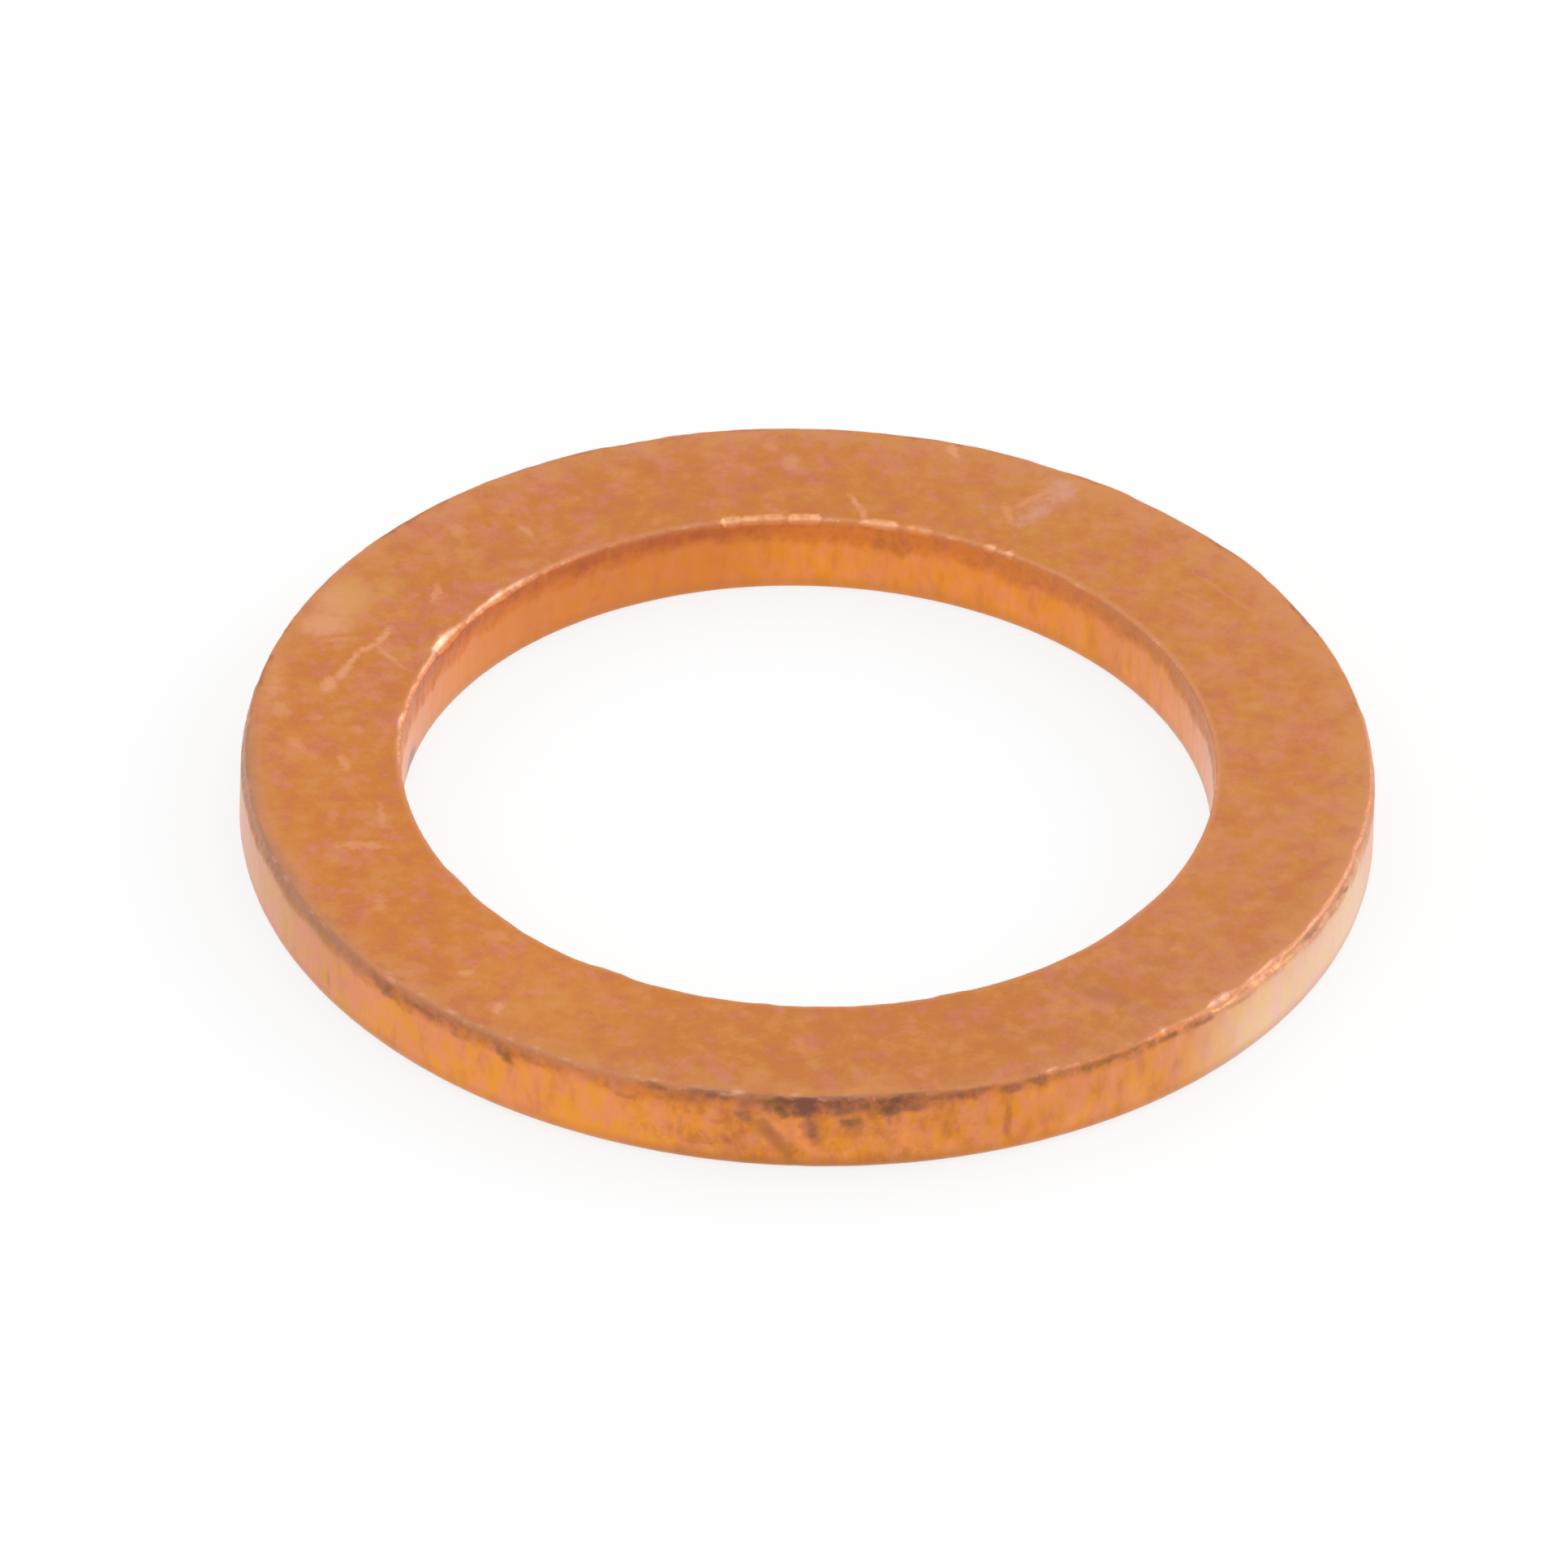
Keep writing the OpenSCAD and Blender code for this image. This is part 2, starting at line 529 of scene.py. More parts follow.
# Each leg of the section: how far it goes, its heading, and the heading that a rounded corner turns to
LEGS = [
    ("under face", RIM_R - RIM_ROLL_R - BORE_R - BORE_ROLL_R, OUT, None),
    ("rim roll", RIM_ROLL_R, OUT, UP),
    ("rim wall", THICK - RIM_ROLL_R - RIM_TORN_ZONE - CORNER_R, UP, None),
    ("rim torn band", RIM_TORN_ZONE, UP, None),
    ("rim corner", CORNER_R, UP, IN),
    ("upper face", RIM_R - BORE_R - 2 * CORNER_R, IN, None),
    ("bore corner", CORNER_R, IN, DOWN),
    ("bore torn band", BORE_TORN_ZONE, DOWN, None),
    ("bore wall", THICK - BORE_ROLL_R - BORE_TORN_ZONE - CORNER_R, DOWN, None),
    ("bore roll", BORE_ROLL_R, DOWN, OUT),
]
# How strongly the rows of the upper face crowd towards its two edges, from 0 to 1
CROWDING = 0.85


def section(row):
    """Radius and height of a row of the mesh, on the way round the section."""
    radius, height, first_row = BORE_R + BORE_ROLL_R, 0.0, 0
    for name, reach, heading, turned in LEGS:
        share = clamped((row - first_row) / ROWS[name])
        if turned:
            ahead = maths("SINE", share * (math.pi / 2)) * reach
            aside = (1 - maths("COSINE", share * (math.pi / 2))) * reach
            radius = radius + ahead * heading[0] + aside * turned[0]
            height = height + ahead * heading[1] + aside * turned[1]
        else:
            if name == "upper face":
                share = share * (1 - CROWDING) + smooth(share, 0.0, 1.0) * CROWDING
            radius = radius + share * (reach * heading[0])
            height = height + share * (reach * heading[1])
        first_row += ROWS[name]
    return radius, height


RIM_CUT = {
    "radius": RIM_R,
    "tear_h": RIM_TEAR_H,
    "tear_in": RIM_TEAR_IN,
    "band": RIM_BAND,
    "edge": RIM_EDGE,
    "rub": RIM_RUB,
    "seed": 11.0,
}
BORE_CUT = {
    "radius": BORE_R,
    "tear_h": BORE_TEAR_H,
    "tear_in": BORE_TEAR_IN,
    "band": BORE_BAND,
    "edge": BORE_EDGE,
    "rub": BORE_RUB,
    "seed": 23.0,
}


def wall_cut(spot, cut, gap, dirt):
    """How one cut wall differs from its true cylinder. gap is a point's distance from it, into the metal."""
    wall_r, tear_in, seed = cut["radius"], cut["tear_in"], cut["seed"]
    below = THICK - spot.z
    lumps = spot.grain(LUMP_WAVE, seed + 2)
    rough = spot.grain(ROUGH_WAVE, seed + 3, detail=3.0)

    # The slope rubbed on the upper edge. flat is its height, and inward is how far a point lies under the
    # same slope drawn through the true edge, so that metal nearer than flat is gone.
    rub = spot.stretches(wall_r, cut["rub"])
    flat = (rub + CORNER_R / 2) * (spot.round_noise(wall_r, LIP_WAVE, seed + 4) * 0.6 + 1)
    inward = gap * EDGE_SLOPE + below
    over = larger(flat - inward, 0.0)
    lip = smooth(flat - inward, -0.02, 0.03) * smooth(flat, 0.03, 0.1) * smooth(gap, 0.0, 0.06)
    edge_near = smooth(inward + lumps * 0.02, 0.1, 0.02)

    # The torn band has a ragged border, and leans into the metal above it
    band_h = spot.stretches(wall_r, cut["band"]) + cut["tear_h"]
    long_waves = spot.round_noise(wall_r, BORDER_WAVES[0], seed)
    short_waves = spot.round_noise(wall_r, BORDER_WAVES[1], seed + 1, detail=3.0, lean=0.6)
    band = (long_waves * 0.3 + short_waves * 0.7 + 1) * band_h
    torn = band - below
    lean = clamped(torn / band) * 0.5 + 0.5
    unrubbed = smooth(inward - flat, -0.02, 0.16) * 0.85 + 0.15
    lumpy = (lumps * 0.5 * tear_in + rough * TORN_ROUGH) * unrubbed
    pits = dirt * (rough + 1) * PIT_IN
    edge_shift = spot.stretches(wall_r, cut["edge"]) * smooth(below, 0.5, 0.1)
    depth = smooth(torn, -0.02, 0.1) * (lean * tear_in + lumpy) + pits + edge_shift

    # Streaks that the die drew down the wall
    wide = spot.round_noise(wall_r, STREAK_WAVES[0], seed + 5, lean=0.15)
    narrow = spot.round_noise(wall_r, STREAK_WAVES[1], seed + 6, detail=1.0, lean=0.1)
    play = clamped(wide * 0.5 + narrow * 0.25 + 0.5) * WALL_PLAY

    # The burr stands only where the edge isn't rubbed
    burr = clamped(spot.round_noise(wall_r, BURR_WAVE, seed + 7, detail=3.0) * 1.3 + 0.45)
    burr = burr * smooth(length_of(gap, below), 0.12, 0.02) * smooth(flat, 0.09, 0.05)
    return {
        "depth": larger(depth, 0.0),
        "play": play,
        "over": over,
        "torn": torn,
        "lip": lip,
        "burr": burr,
        "near": edge_near,
    }


def rim_marks(spot, rim_gap):
    """Dirt and painted shade, grooves, ridges, the edge's painted dark reflection and pale glints of the
    outer wall, each from 0 to 1.
    """
    chart = vector_of(spot.tree, spot.arc_from(0, RIM_R), spot.z + rim_gap, 0.0)
    chart = wobbled(chart, wave=0.25, amount=0.06)
    broken = spot.grain(0.16, 47) * 0.6

    # Soot and painted shade under the upper edge in front, and patches of dirt scattered behind
    patches = spot.round_noise(RIM_R, 1.1, 45.0, detail=3.0, lean=0.5) + spot.grain(0.3, 48) * 0.6
    soot_and_shade_band = spot.stretches(RIM_R, RIM_SOOT_AND_SHADE) * smooth(spot.z + patches * 0.12, 1.1, 1.34)
    behind = smooth(spot.y, -1.0, 2.5) * (smooth(spot.z, 0.7, 1.3) * 0.55 + 0.1)
    dirt = larger(soot_and_shade_band * clamped(patches * 0.7 + 0.65), smooth(patches, -0.2, 0.6) * behind)
    dirt = larger(marks(chart, DIRT_AND_SHADE, broken, full=0.2, none=1.5), dirt)

    return {
        "dirt": dirt,
        "groove": marks(chart, GROOVES, broken),
        "ridge": marks(chart, RIDGES, broken * 0.4),
        "grey": marks(chart, EDGE_REFLECTIONS, broken * 0.6, full=0.1, none=1.6),
        "glint": marks(chart, GLINTS, broken * 0.6),
    }


def ring_relief(spot):
    """Shift away from the axis and upwards that cuts the plain ring, and facts about its surface."""
    rim_gap = RIM_R - spot.radius
    bore_gap = spot.radius - BORE_R
    at_rim = smooth(rim_gap, EDGE_BLEND, 0.0)
    at_bore = smooth(bore_gap, EDGE_BLEND, 0.0)

    # The two cuts, with the dirt on each wall and the painted shade on the rim's
    on_rim = rim_marks(spot, rim_gap)
    bore_dirt = spot.round_noise(BORE_R, 1.2, 46.0, detail=3.0, lean=0.5) + spot.grain(0.2, 49) * 0.4
    bore_dirt = smooth(bore_dirt, 0.15, 0.8) * 0.45
    low_dark_spot = spot.stretches(BORE_R, BORE_SPOT) * smooth(spot.z, 0.55, 0.2)
    rim = wall_cut(spot, RIM_CUT, rim_gap, on_rim["dirt"])
    bore = wall_cut(spot, BORE_CUT, bore_gap, bore_dirt)

    # Away from the axis. Metal over a rubbed slope moves onto it, at a right angle to it.
    rim_play = larger(rim["play"] - on_rim["ridge"] * WALL_PLAY, 0.0) + on_rim["groove"] * GROOVE_IN
    away = (bore["depth"] + bore["play"]) * at_bore - (rim["depth"] + rim_play) * at_rim
    slant = EDGE_SLOPE**2 + 1
    away = away + (bore["over"] - rim["over"]) * (EDGE_SLOPE / slant)

    # Upwards: burrs, the waviness of the two faces, and the same slopes
    upper = smooth(spot.z, THICK - 0.6, THICK)
    under = smooth(spot.z, 0.25, 0.0)
    burr = clamped(rim["burr"] + bore["burr"] + on_rim["glint"] * 0.5)
    up = upper * (burr * BURR_H - BURR_H + spot.grain(UPPER_WAVE, 5) * UPPER_WAVE_H)
    up = up + under * (spot.grain(UNDER_WAVE, 6) * UNDER_WAVE_H + UNDER_WAVE_H)
    up = up - (rim["over"] + bore["over"]) * (1 / slant)

    # What the material reads at each point of the mesh
    bore_side = spot.bore_side()
    rim_side = 1 - bore_side
    facts = {name: spot.stretches(RIM_R, rows) * rim_side for name, rows in RIM_TONES.items()}
    for name, (degrees, begins, full) in FACE_TONES.items():
        facts[name] = smooth(spot.towards(degrees), begins, full)
    for name, rows in FACE_PATCHES.items():
        facts[name] = marks(spot.place, rows, 0.0, full=0.0, none=1.4)
    # The soft edge colour is stronger where window light is painted, and gives way to dirt and painted shade
    near_rim = rim["near"] * (facts["pale"] * 0.5 + 0.6) * (1 - on_rim["dirt"])
    facts.update({
        "wall": smooth(rim_gap - on_rim["dirt"] * 0.06, 0.08, 0.03) + smooth(bore_gap, 0.07, 0.03),
        "torn": rim["torn"] * rim_side + bore["torn"] * bore_side,
        "lip": rim["lip"] * at_rim + bore["lip"] * at_bore,
        "burr": rim["burr"] + bore["burr"],
        "near": near_rim * at_rim + bore["near"] * at_bore,
        "dirt": on_rim["dirt"] * at_rim + (bore_dirt + low_dark_spot) * at_bore,
        "groove": on_rim["groove"] * at_rim,
        "ridge": on_rim["ridge"] * at_rim,
        "grey": on_rim["grey"],
        "glint": on_rim["glint"],
        "shaded": spot.stretches(BORE_R, BORE_SHADE) * bore_side,
        "outer": smooth(rim_gap, 0.9, 0.1),
        "blush": smooth(spot.y, 3.0, 8.0) * (smooth(rim_gap, 2.2, 0.4) * 0.2 - 0.19),
    })
    return away, up, facts


def ring_tree():
    """Geometry nodes that bend a grid into the ring's section and sweep it round the axis."""
    group = bpy.data.node_groups.new("blanked ring", "GeometryNodeTree")
    group.is_modifier = True
    sockets = {"Material": "NodeSocketMaterial", "Columns": "NodeSocketInt", "Rows": "NodeSocketInt"}
    for name, kind in sockets.items():
        group.interface.new_socket(name, in_out="INPUT", socket_type=kind)
    group.interface.new_socket("Ring", in_out="OUTPUT", socket_type="NodeSocketGeometry")
    tree = Tree(group)
    columns = tree.add("NodeGroupInput", output="Columns")
    rows = tree.add("NodeGroupInput", output="Rows")
    material = tree.add("NodeGroupInput", output="Material")
    grid = {"Size X": 1.0, "Size Y": 1.0, "Vertices X": columns + 1, "Vertices Y": rows + 1}
    sheet = tree.add("GeometryNodeMeshGrid", inputs=grid, output="Mesh")

    position = tree.add("GeometryNodeInputPosition")
    turn = (tree.add("ShaderNodeSeparateXYZ", inputs={"Vector": position}, output="X") + 0.5) * (2 * math.pi)
    row = (tree.add("ShaderNodeSeparateXYZ", inputs={"Vector": position}, output="Y") + 0.5) * rows
    radius, height = section(row)
    swept_x = maths("COSINE", turn) * radius * MM
    swept_y = maths("SINE", turn) * radius * MM
    swept = vector_of(tree, swept_x, swept_y, height * MM)
    ring = tree.add("GeometryNodeSetPosition", inputs={"Geometry": sheet, "Position": swept})
    closing = {"Geometry": ring, "Distance": SAME_POINT * MM}
    ring = tree.add("GeometryNodeMergeByDistance", inputs=closing)

    spot = Spot(tree, tree.add("GeometryNodeInputPosition"))
    away, up, facts = ring_relief(spot)
    for name, value in facts.items():
        settings = {"data_type": "FLOAT", "domain": "POINT"}
        stored = {"Geometry": ring, "Name": name, "Value": value}
        ring = tree.add("GeometryNodeStoreNamedAttribute", settings, stored)
    cut_r = (spot.radius + away) * MM
    cut = vector_of(tree, spot.cos * cut_r, spot.sin * cut_r, (spot.z + up) * MM)
    ring = tree.add("GeometryNodeSetPosition", inputs={"Geometry": ring, "Position": cut})
    ring = tree.add("GeometryNodeSetShadeSmooth", inputs={"Geometry": ring})
    ring = tree.add("GeometryNodeRealizeInstances", inputs={"Geometry": ring})
    ring = tree.add("GeometryNodeSetMaterial", inputs={"Geometry": ring, "Material": material})
    tree.end("NodeGroupOutput", "Ring", ring)
    return group


def new_object(name, data):
    thing = bpy.data.objects.new(name, data)
    bpy.context.scene.collection.objects.link(thing)
    return thing


def copper_ring(material):
    """The whole ring as one plain mesh."""
    holder = new_object("ring being made", bpy.data.meshes.new("ring being made"))
    modifier = holder.modifiers.new("blanked ring", "NODES")
    modifier.node_group = ring_tree()
    values = {"Material": material, "Columns": COLUMNS, "Rows": sum(ROWS.values())}
    for item in modifier.node_group.interface.items_tree:
        if item.item_type == "SOCKET" and item.in_out == "INPUT":
            modifier[item.identifier] = values[item.name]
    evaluated = holder.evaluated_get(bpy.context.evaluated_depsgraph_get())
    mesh = bpy.data.meshes.new_from_object(evaluated)
    bpy.data.objects.remove(holder)
    return new_object("copper_ring", mesh)


# Finishes


def srgb(red, green, blue):
    """A screen colour, given from 0 to 255, as the shader's linear one."""
    shares = (red / 255, green / 255, blue / 255)
    return tuple(v / 12.92 if v <= 0.04045 else ((v + 0.055) / 1.055) ** 2.4 for v in shares)


FACE_ORANGE = srgb(203, 124, 36)
FACE_PINK = srgb(209, 125, 89)
FACE_BROWN = srgb(199, 110, 62)
FACE_PALE = srgb(214, 141, 76)
FACE_WARM = srgb(248, 134, 0)
FACE_DULL = srgb(155, 98, 66)
FACE_OCHRE = srgb(210, 141, 58)
FACE_OUTER = srgb(216, 150, 98)
FACE_SHEEN = srgb(240, 168, 81)
SCRATCH_PALE = srgb(227, 154, 106)
STAIN_PALE = srgb(228, 160, 114)
STAIN_YELLOW = srgb(218, 154, 84)
SCUFF_GREY = srgb(219, 159, 131)
SMEAR_BROWN = srgb(182, 112, 72)
EDGE_REFLECTION_GREY = srgb(178, 125, 93)
EDGE_SOFT = srgb(217, 150, 106)
LAND_YELLOW = srgb(230, 142, 30)
LAND_PINK = srgb(228, 138, 88)
LAND_DARK = srgb(203, 113, 48)
LAND_BRIGHT = srgb(243, 154, 80)
GLOW_YELLOW = srgb(247, 158, 50)
GLOW_PINK = srgb(246, 148, 92)
LAND_BROWN = srgb(196, 112, 42)
WINDOW_LIT_YELLOW = srgb(246, 208, 156)
WINDOW_LIT_PINK = srgb(245, 196, 176)
ROSE_YELLOW = srgb(212, 148, 62)
ROSE_PINK = srgb(222, 138, 98)
LAND_SHADED = srgb(210, 118, 50)
BORE_ORANGE = srgb(244, 139, 27)
TORN_ORANGE = srgb(222, 132, 56)
TORN_PINK = srgb(216, 132, 84)
TORN_OLIVE = srgb(188, 122, 46)
TORN_BORE = srgb(222, 127, 46)
TORN_RED = srgb(213, 118, 62)
TORN_BROWN = srgb(204, 118, 36)
TORN_TAN = srgb(214, 142, 82)
TORN_SHADED = srgb(192, 99, 48)
TORN_ROSE = srgb(190, 128, 92)
TORN_WINDOW_LIT = srgb(204, 146, 112)
ROLL_SHADE_BROWN = srgb(186, 114, 54)
# Dirt and painted shade in the torn hollows
SOOT_AND_SHADE_PURPLE = srgb(132, 80, 62)
SOOT_AND_SHADE_OLIVE = srgb(132, 88, 40)
RIM_LIP_HIGHLIGHT = srgb(236, 165, 141)
BORE_LIP_HIGHLIGHT = srgb(250, 194, 163)
BACK_LIP_HIGHLIGHT = srgb(255, 186, 138)
GLINT_PINK = srgb(220, 164, 128)
GROOVE_SHADE_BROWN = srgb(152, 88, 44)
RIDGE_HIGHLIGHT_ORANGE = srgb(242, 146, 80)

# The faces' slow changes of colour, one over the other, and how strong each is
FACE_LAYERS = [
    ("warm", 0.1, FACE_WARM),
    ("dull", 0.12, FACE_DULL),
    ("sheen", 0.2, FACE_SHEEN),
    ("ochre", 0.3, FACE_OCHRE),
    ("outer", 0.35, FACE_OUTER),
]
# Waves of the mottling in mm, the walls' own last
TINT_WAVE = 0.5
BLOTCH_WAVE = 0.55
FLECK_WAVE = 0.17
FINE_WAVE = 0.07
WALL_TINT_WAVE = 0.32
WALL_SHADE_WAVE = 0.26
# Length and width of the finest scratches
HAIR_LENGTH = 1.6
HAIR_WIDTH = 0.07
# Relief in mm that is too small for the mesh: grain, flecks, scratches, streaks and torn metal
FINE_H = 0.0014
FLECK_H = 0.002
SCRATCH_IN = 0.005
STREAK_H = 0.003
TORN_H = 0.012
# Roughness of the plain face, and the clear film that handling leaves
ROUGHNESS = 0.42
FILM = {"Coat Weight": 0.4, "Coat Roughness": 0.3}


def mixed(share, first, second):
    """One colour turning to another as share goes from 0 to 1."""
    tree = share.tree
    inputs = {"Factor_Float": share}
    for key, colour in (("A_Color", first), ("B_Color", second)):
        inputs[key] = colour if isinstance(colour, Wire) else (*colour, 1)
    return tree.add("ShaderNodeMix", {"data_type": "RGBA"}, inputs, "Result_Color")


def fact(tree, name):
    return tree.add("ShaderNodeAttribute", {"attribute_name": name}, output="Fac")


def hairlines(spot, degrees, seed):
    """Thin broken scratches that all run in about one direction."""
    turn = math.radians(degrees)
    along = spot.x * math.cos(turn) + spot.y * math.sin(turn)
    across = spot.y * math.cos(turn) - spot.x * math.sin(turn)
    place = vector_of(spot.tree, along / HAIR_LENGTH, across / HAIR_WIDTH, seed)
    return smooth(noise(place, detail=1.0), 0.3, 0.55)


def face_colour(spot, tint, blotch, fleck, fine):
    """Mottled skin of the flat faces with the upper one's marks, and how much there is of some of them."""
    tree = spot.tree
    upper = smooth(spot.z, THICK - 0.5, THICK - 0.3)
    warm = fact(tree, "warm")
    pink = tint * (warm * 0.6 + 1.0) - warm * 0.25 + fact(tree, "blush")
    face = mixed(smooth(pink, -0.22, 0.22), FACE_ORANGE, FACE_PINK)
    for name, strength, colour in FACE_LAYERS:
        face = mixed(fact(tree, name) * strength, face, colour)
    face = mixed(smooth(blotch, -0.06, 0.42) * 0.75, face, FACE_BROWN)
    face = mixed(smooth(blotch, 0.06, -0.42) * 0.75, face, FACE_PALE)
    stain = smooth(fact(tree, "stain") + blotch * 0.4 + fleck * 0.3, 0.15, 0.9) * upper
    scuff = smooth(fact(tree, "scuff") + blotch * 0.8 + fleck * 0.6, 0.25, 1.2) * upper
    smear = smooth(fact(tree, "smear") + blotch * 0.4, 0.1, 1.0) * upper
    place = wobbled(spot.place, wave=0.3, amount=0.07)
    scratch = marks(place, SCRATCHES, fleck * 0.5 + fine * 0.4, none=1.3) * upper
    hair = larger(hairlines(spot, 18, 63.0), hairlines(spot, -48, 64.0))
    hair = hair * smooth(spot.x + blotch * 9, 2.0, -6.0)
    gold = smooth(spot.x + spot.y * 0.5 + tint * 0.8, -6.7, -5.7)
    face = mixed(stain * 0.75, face, mixed(gold, STAIN_PALE, STAIN_YELLOW))
    face = mixed(scuff * 0.85, face, SCUFF_GREY)
    face = mixed(smear * 0.5, face, SMEAR_BROWN)
    face = mixed(clamped(hair * 0.12 + scratch * 0.9), face, SCRATCH_PALE)
    return face, {"stain": stain, "scuff": scuff, "scratch": scratch}


def window_lit_colour(tint, blotch):
    """Painted window light: the pale colour where the rim faces the window."""
    return mixed(smooth(tint * 0.5 + blotch, -0.3, 0.3), WINDOW_LIT_YELLOW, WINDOW_LIT_PINK)


def land_colour(spot, tint, shade, blotch):
    """Smooth cut band of a wall, mottled by the die, with painted light and shade. It is plainer and more
    orange in the bore.
    """
    tree = spot.tree
    in_bore = spot.bore_side()
    brown, bright = fact(tree, "brown"), fact(tree, "bright")
    contrast = in_bore * -0.3 + brown * 0.3 - bright * 0.3 + 0.7
    land = mixed(smooth(tint, -0.32, 0.32), LAND_YELLOW, LAND_PINK)
    land = mixed(in_bore * 0.36, land, BORE_ORANGE)
    land = mixed(bright * 0.6, land, mixed(smooth(tint, -0.3, 0.3), GLOW_YELLOW, GLOW_PINK))
    land = mixed(smooth(shade, 0.0, 0.5) * contrast, land, LAND_DARK)
    land = mixed(smooth(shade, 0.0, -0.5) * contrast, land, LAND_BRIGHT)
    land = mixed(brown * smooth(blotch, -0.1, 0.4) * 0.7, land, LAND_BROWN)
    land = mixed(fact(tree, "shaded") * 0.6, land, LAND_SHADED)
    land = mixed(in_bore * smooth(spot.x, -4.8, -6.5) * 0.5, land, BORE_ORANGE)
    # Painted window light on the right of the rim, stronger low on the wall
    pale = fact(tree, "pale") * (smooth(spot.z, 1.6, 0.6) * 0.35 + 0.65) * (blotch * 0.3 + 0.9)
    land = mixed(clamped(pale), land, window_lit_colour(tint, blotch))
    rose = mixed(smooth(blotch + tint * 0.7, -0.2, 0.2), ROSE_YELLOW, ROSE_PINK)
    land = mixed(fact(tree, "rose") * 0.7, land, rose)
    # Painted shade low on the wall, where it meets the floor
    land = mixed(smooth(spot.z, 0.38, 0.12) * (brown * 0.4 + 0.35), land, ROLL_SHADE_BROWN)
    # Painted shade in the grooves and a painted highlight on the ridges
    land = mixed(fact(tree, "groove") * 0.8, land, GROOVE_SHADE_BROWN)
    return mixed(fact(tree, "ridge") * 0.8, land, RIDGE_HIGHLIGHT_ORANGE)


def torn_colour(spot, dirt, tint, blotch, fleck):
    """Rough torn band of a wall, redder in the bore, with dirt and painted shade in its hollows."""
    tree = spot.tree
    in_bore = spot.bore_side()
    rim = mixed(smooth(tint + fleck * 0.3, -0.3, 0.3), TORN_ORANGE, TORN_PINK)
    rim = mixed(smooth(blotch + fleck * 0.5, 0.0, 0.4) * 0.7, rim, TORN_OLIVE)
    # Painted window light on the torn band
    rim = mixed(clamped(fact(tree, "pale") * 1.8) * 0.75, rim, TORN_WINDOW_LIT)
    rim = mixed(fact(tree, "rose") * 0.8, rim, TORN_ROSE)
    bore = mixed(smooth(tint + fleck * 0.3, 0.0, 0.35), TORN_BORE, TORN_RED)
    bore = mixed(smooth(blotch + fleck * 0.5, 0.0, 0.4) * 0.8, bore, TORN_BROWN)
    shaded = fact(tree, "shaded") * (tint * 0.8 + 0.65) * smooth(spot.z, 1.05, 1.3)
    bore = mixed(clamped(shaded), bore, TORN_SHADED)
    bore = mixed(smooth(spot.x, 2.0, 6.0) * 0.4, bore, TORN_TAN)
    soot_and_shade = mixed(smooth(blotch + fleck * 0.5, -0.1, 0.3), SOOT_AND_SHADE_PURPLE, SOOT_AND_SHADE_OLIVE)
    return mixed(clamped(dirt * (fleck * 0.7 + 1.0)), mixed(in_bore, rim, bore), soot_and_shade)


def copper():
    material = bpy.data.materials.new("blanked copper")
    tree = empty_tree(material)
    spot = Spot(tree, tree.add("ShaderNodeTexCoord", output="Object"))
    wall, torn, lip = fact(tree, "wall"), fact(tree, "torn"), fact(tree, "lip")
    burr, dirt = fact(tree, "burr"), fact(tree, "dirt")
    tint = spot.grain(TINT_WAVE, 51, detail=4.0, roughness=0.72)
    blotch = spot.grain(BLOTCH_WAVE, 52, detail=4.0, roughness=0.72)
    fleck = spot.grain(FLECK_WAVE, 53, roughness=0.6)
    fine = spot.grain(FINE_WAVE, 54, detail=1.0, roughness=0.6)
    wall_tint = spot.round_noise(MID_R, WALL_TINT_WAVE, 62.0, detail=3.0, lean=2.2)
    wall_shade = spot.round_noise(MID_R, WALL_SHADE_WAVE, 61.0, detail=3.0, lean=1.6)

    face, kinds = face_colour(spot, tint, blotch, fleck, fine)
    land = land_colour(spot, wall_tint, wall_shade, blotch)
    band = smooth(torn + fleck * 0.08 + blotch * 0.16, -0.14, 0.16)
    # The torn band, and where dirt and painted shade darken the wall
    torn_and_darkened = larger(band, smooth(dirt, 0.0, 0.6))
    side = mixed(torn_and_darkened, land, torn_colour(spot, dirt, wall_tint, blotch, fleck))
    near = fact(tree, "near") * (blotch * 0.7 + fleck * 0.5 + 0.6)
    skin = mixed(clamped(near), mixed(wall, face, side), EDGE_SOFT)
    # Painted dark reflection of the rounded upper edge
    skin = mixed(clamped(fact(tree, "grey") * (blotch * 0.4 + 0.8)), skin, EDGE_REFLECTION_GREY)
    skin = mixed(clamped(fact(tree, "glint") * (fleck * 0.5 + 0.9)), skin, GLINT_PINK)
    # Painted highlights on the rubbed lips and on the burrs
    bright = lip * (fleck * 0.9 + blotch * 0.8 + 0.84)
    bright = clamped(bright + smooth(burr + fine * 0.3 + fleck * 0.3, 0.5, 0.95) * 0.5)
    bore_lip_highlight = mixed(smooth(spot.x, -5.0, -3.5), BORE_LIP_HIGHLIGHT, BACK_LIP_HIGHLIGHT)
    colour = mixed(bright, skin, mixed(spot.bore_side(), RIM_LIP_HIGHLIGHT, bore_lip_highlight))

    band = band * wall
    dull = fine * 0.05 + fleck * 0.05 + ROUGHNESS - wall * 0.06
    dull = dull + kinds["scuff"] * 0.1 - kinds["stain"] * 0.06
    dull = dull + band * 0.18 - bright * 0.1
    height = fine * FINE_H + fleck * FLECK_H - kinds["scratch"] * SCRATCH_IN
    height = height + wall_shade * wall * STREAK_H + band * fleck * TORN_H
    bump = tree.add("ShaderNodeBump", inputs={"Strength": 1.0, "Distance": MM, "Height": height})
    inputs = {"Base Color": colour, "Metallic": 1.0, "Roughness": clamped(dull), "Normal": bump}
    shader = tree.add("ShaderNodeBsdfPrincipled", inputs={**inputs, **FILM})
    tree.end("ShaderNodeOutputMaterial", "Surface", shader)
    return material


# Studio

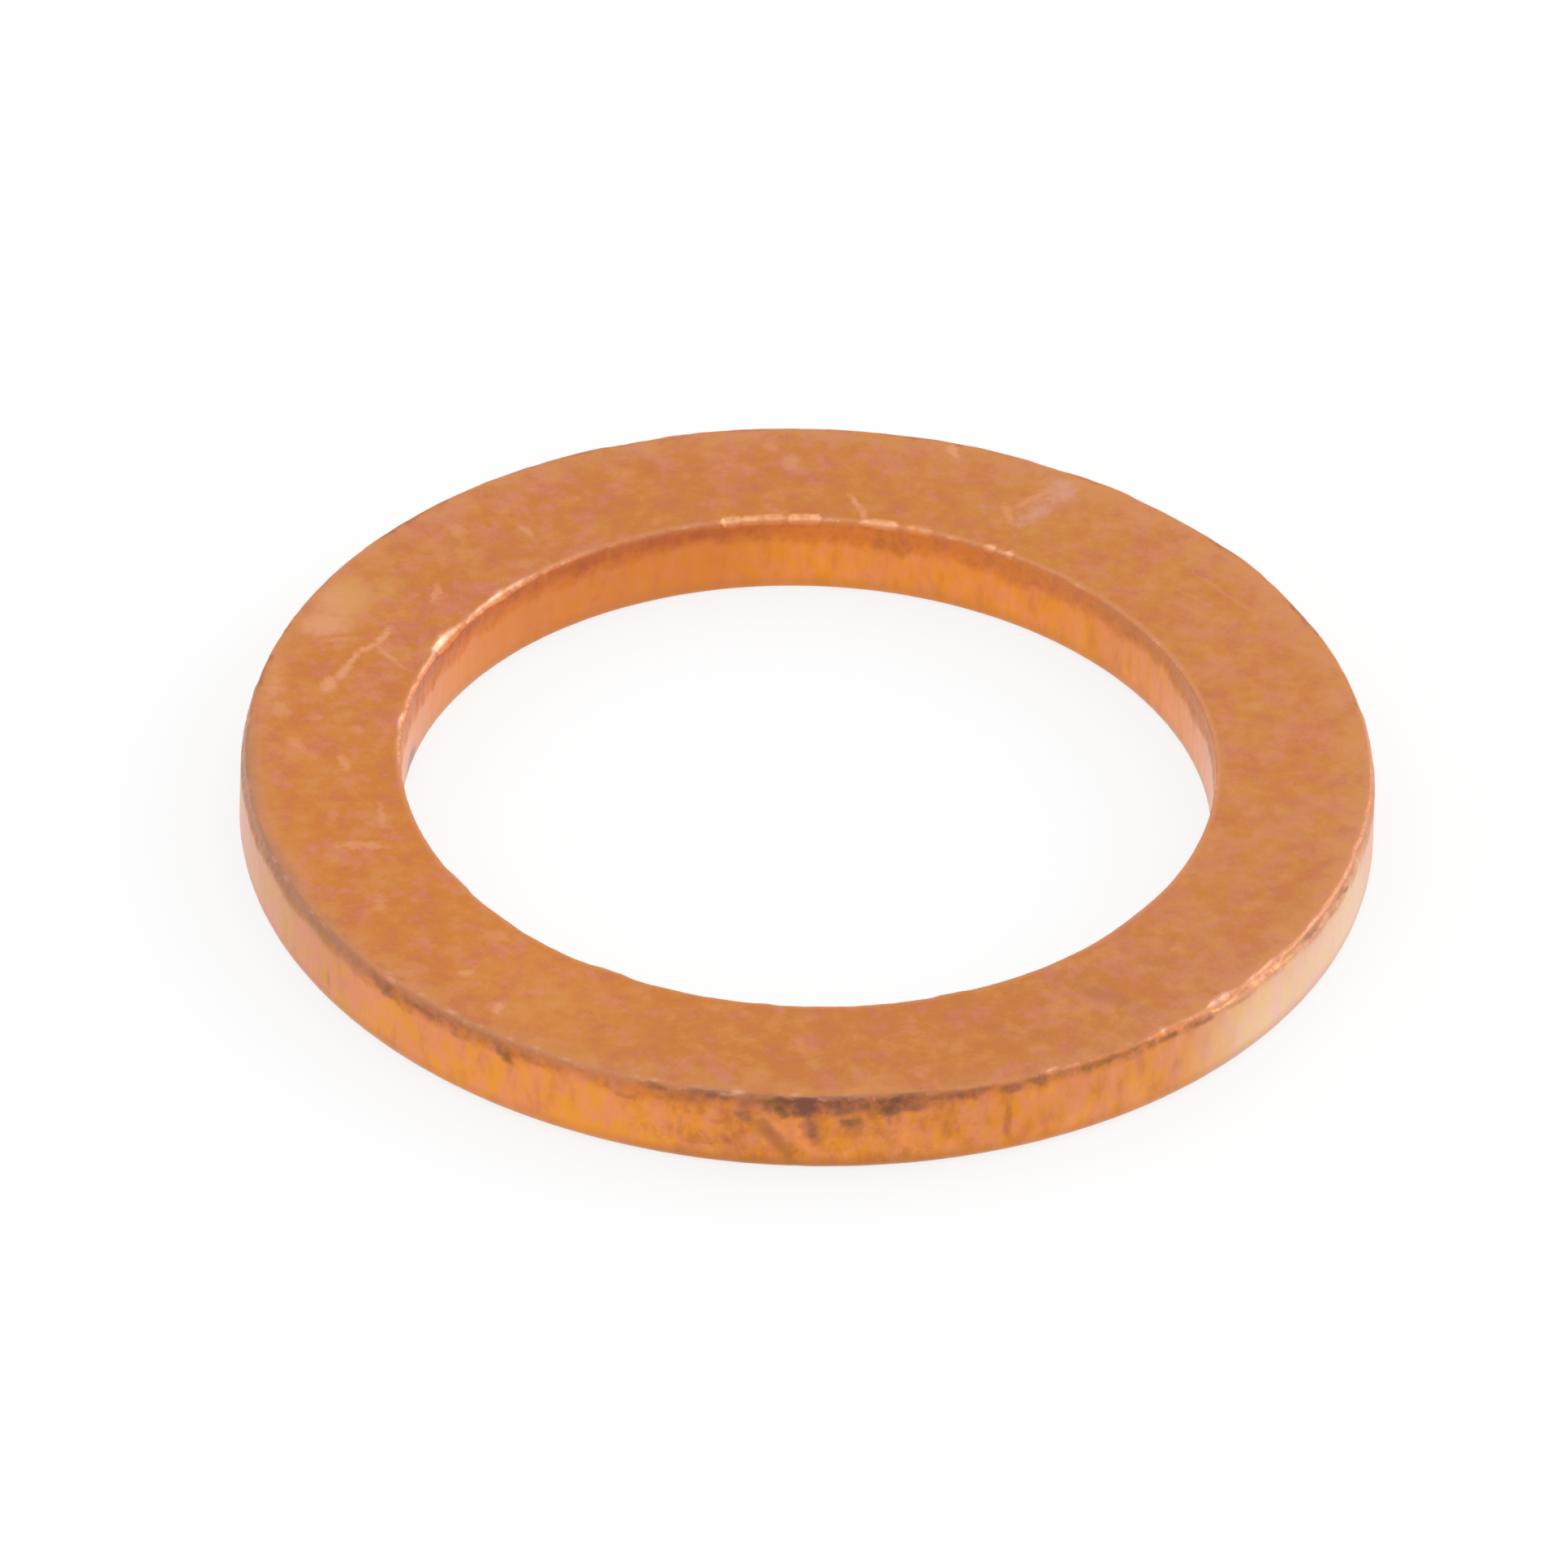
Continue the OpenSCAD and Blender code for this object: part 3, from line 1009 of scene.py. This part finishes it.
# The photograph: its side, the pixel of the ring's centre on the floor, and pixels for each millimetre
PHOTO_SIDE = 1932
RING_PX = (993.2, 1021.8)
PX_PER_MM = 70.25
# The view: how far the camera looks down, how it leans to the right, and how far off it stands
LOOK_DOWN = math.radians(36.6)
LEAN = math.radians(-1.88)
CAMERA_OFF = 1.032
SENSOR = 36.0
# How much of the floor is plain white to the camera. The rest of it takes the ring's shadow.
FLOOR_GLOW = 0.8
PAPER = (0.97, 0.97, 0.97, 1)
WHITE = (1, 1, 1, 1)
# Half the floor's side, and how far it lies under the ring
FLOOR_HALF = 0.6
FLOOR_DROP = 0.00002
# The lamp: its place, its side and its power
WINDOW_PLACE = (0.30, 0.12, 0.13)
WINDOW_SIDE = 0.22
WINDOW_POWER = 0.26


def camera():
    """A long lens at the photo's angle, moved across its view until the ring lies where it does there."""
    back = Vector((0, -math.cos(LOOK_DOWN), math.sin(LOOK_DOWN)))
    level = Vector((1, 0, 0))
    upward = Vector((0, math.sin(LOOK_DOWN), math.cos(LOOK_DOWN)))
    right = level * math.cos(LEAN) - upward * math.sin(LEAN)
    top = level * math.sin(LEAN) + upward * math.cos(LEAN)
    across = (PHOTO_SIDE / 2 - RING_PX[0]) / PX_PER_MM * MM
    raised = (RING_PX[1] - PHOTO_SIDE / 2) / PX_PER_MM * MM
    lens = bpy.data.cameras.new("camera")
    lens.sensor_width = SENSOR
    lens.lens = SENSOR * CAMERA_OFF / (PHOTO_SIDE / PX_PER_MM * MM)
    lens.clip_start = 0.01
    lens.clip_end = 20
    stand = new_object("camera", lens)
    turned = Matrix((right, top, back)).transposed()
    place = back * CAMERA_OFF + right * across + top * raised
    stand.matrix_world = Matrix.Translation(place) @ turned.to_4x4()
    bpy.context.scene.camera = stand


def ray_kinds(tree, *names):
    """1 for rays of any of these kinds, and 0 for all others."""
    total = 0.0
    for name in names:
        total = tree.add("ShaderNodeLightPath", output=name) + total
    return clamped(total)


def floor():
    """White paper. It shines plain white in the metal, and nearly so to the camera."""
    material = bpy.data.materials.new("pale floor")
    tree = empty_tree(material)
    paper = tree.add("ShaderNodeBsdfDiffuse", inputs={"Color": PAPER})
    white = tree.add("ShaderNodeEmission", inputs={"Color": WHITE, "Strength": 1.0})
    mirrored = ray_kinds(tree, "Is Glossy Ray", "Is Transmission Ray")
    share = ray_kinds(tree, "Is Camera Ray") * FLOOR_GLOW + mirrored
    shader = tree.add("ShaderNodeMixShader", inputs={0: share, 1: paper, 2: white})
    tree.end("ShaderNodeOutputMaterial", "Surface", shader)
    mesh = bpy.data.meshes.new("floor")
    corners = [(x * FLOOR_HALF, y * FLOOR_HALF, 0) for x, y in ((-1, -1), (1, -1), (1, 1), (-1, 1))]
    mesh.from_pydata(corners, [], [(0, 1, 2, 3)])
    mesh.materials.append(material)
    plane = new_object("floor", mesh)
    plane.location.z = -FLOOR_DROP


def world():
    studio = bpy.data.worlds.new("studio")
    tree = empty_tree(studio)
    sky = tree.add("ShaderNodeBackground", inputs={"Color": WHITE, "Strength": 1.0})
    tree.end("ShaderNodeOutputWorld", "Surface", sky)
    bpy.context.scene.world = studio


def window():
    """A square lamp that faces the ring."""
    lamp = bpy.data.lights.new("window at the right", "AREA")
    lamp.size = WINDOW_SIDE
    lamp.energy = WINDOW_POWER
    box = new_object("window at the right", lamp)
    box.location = WINDOW_PLACE
    box.rotation_euler = (-Vector(WINDOW_PLACE)).to_track_quat("-Z", "Y").to_euler()


def build():
    camera()
    world()
    floor()
    window()
    ring = copper_ring(copper())
    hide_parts("washer")
    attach(ring, "root")
    bpy.context.scene.view_settings.view_transform = "Standard"


build()
